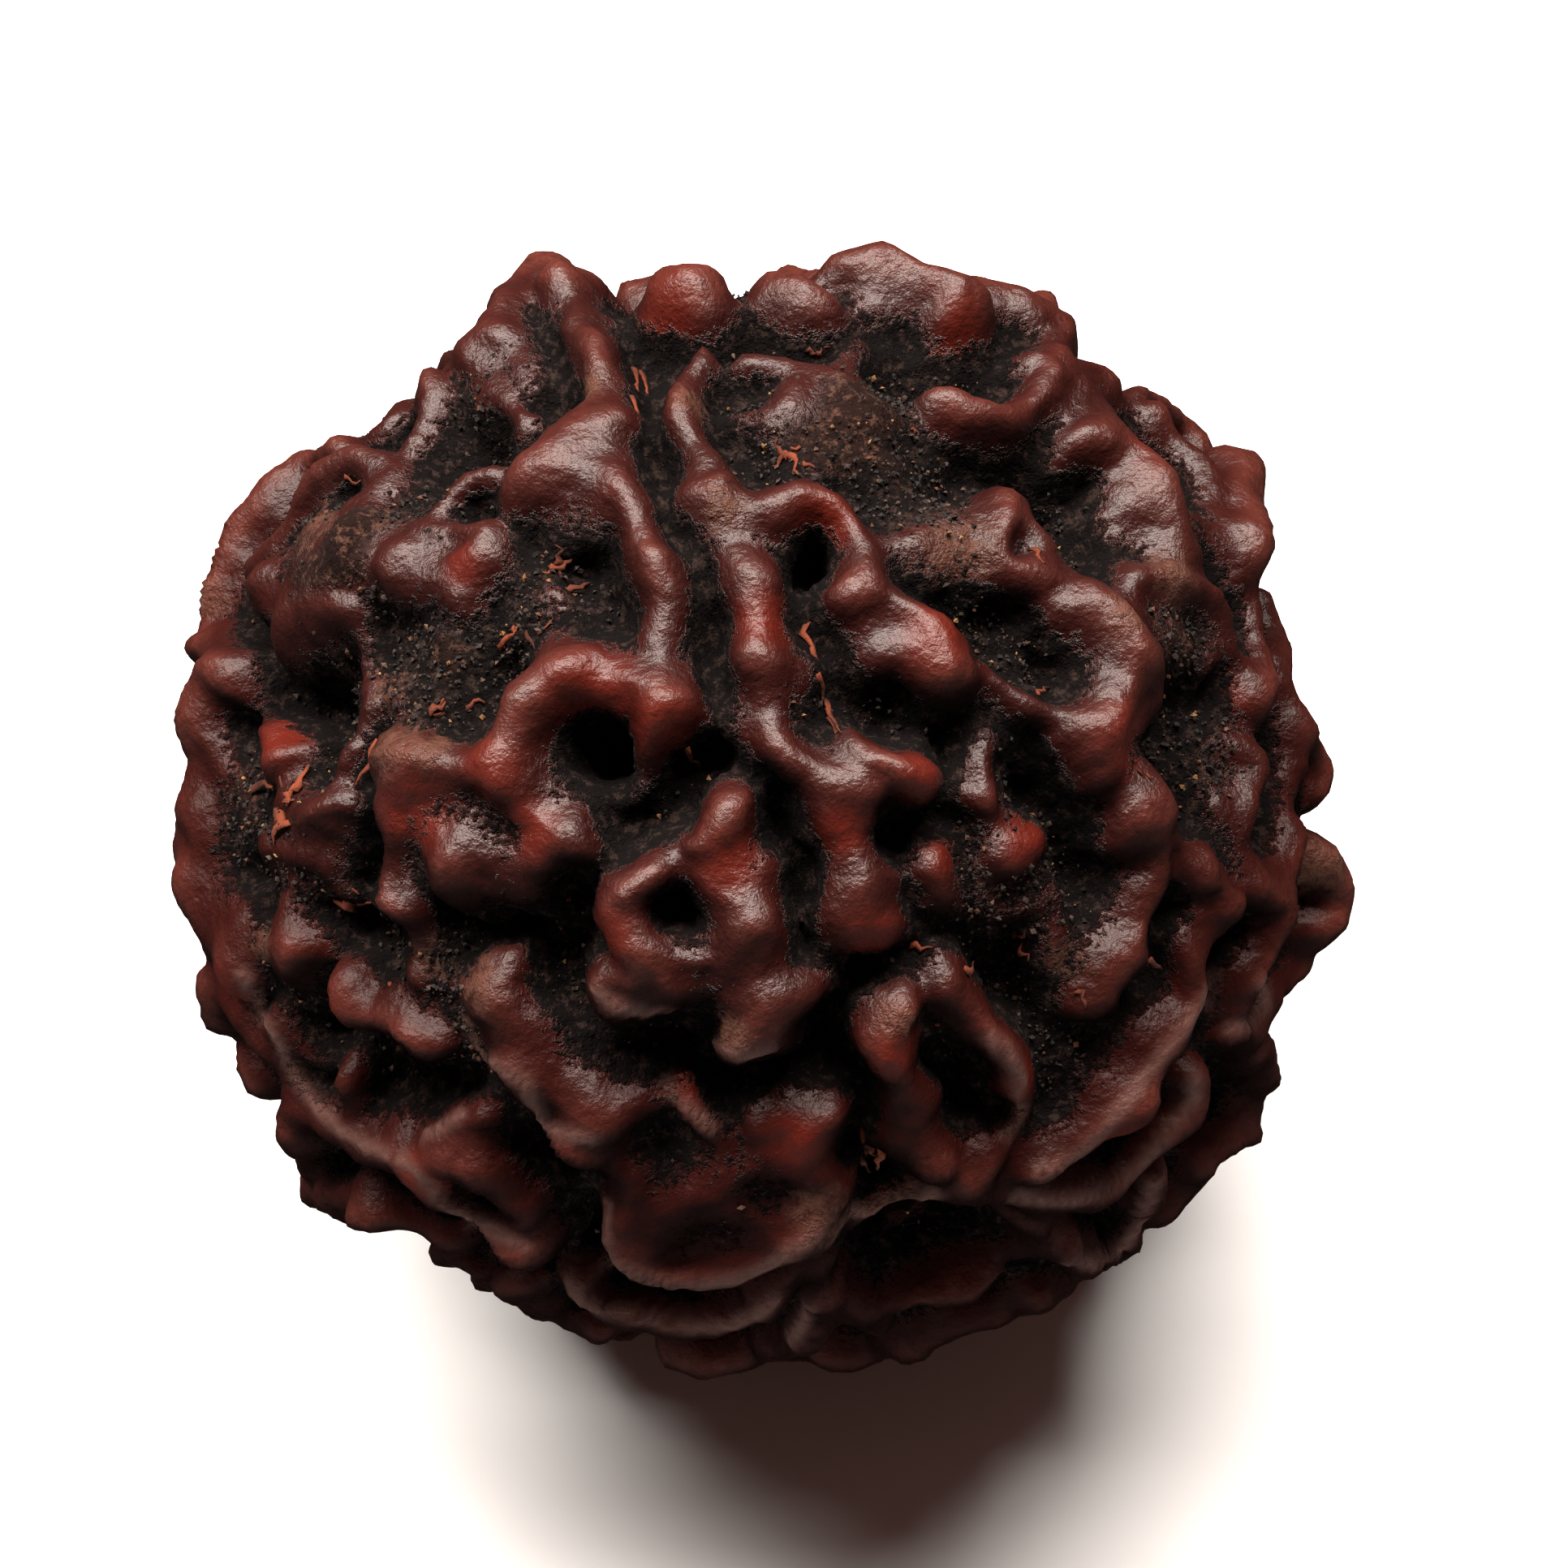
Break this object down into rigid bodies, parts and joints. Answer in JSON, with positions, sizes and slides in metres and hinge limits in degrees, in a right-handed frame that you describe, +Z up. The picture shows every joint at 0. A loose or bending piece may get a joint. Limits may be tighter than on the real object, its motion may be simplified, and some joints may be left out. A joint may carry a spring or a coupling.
{
  "type": "rudraksha bead",
  "caption": "Round, deeply furrowed woody fruit stone with knobby winding ridges and a thread hole along its axis, used as a prayer or jewellery bead.",
  "frame": {"origin": "middle of the bead's box in plan, on the plane that it rests on, under the small flat of its lowest knob", "axes": "+Z up from the resting plane, +X to the right and -Y towards the front seen in the picture, with the main furrow running down the front to the lower mouth of the hole"},
  "size_m": [0.0214, 0.0217, 0.0212],
  "materials": {
    "rudraksha_stone": "dark red-brown woody ridges with a waxy gloss over black, sooty furrows"
  },
  "bodies": {
    "root": {"rudraksha_bead": "rudraksha_stone"}
  },
  "joints": []
}
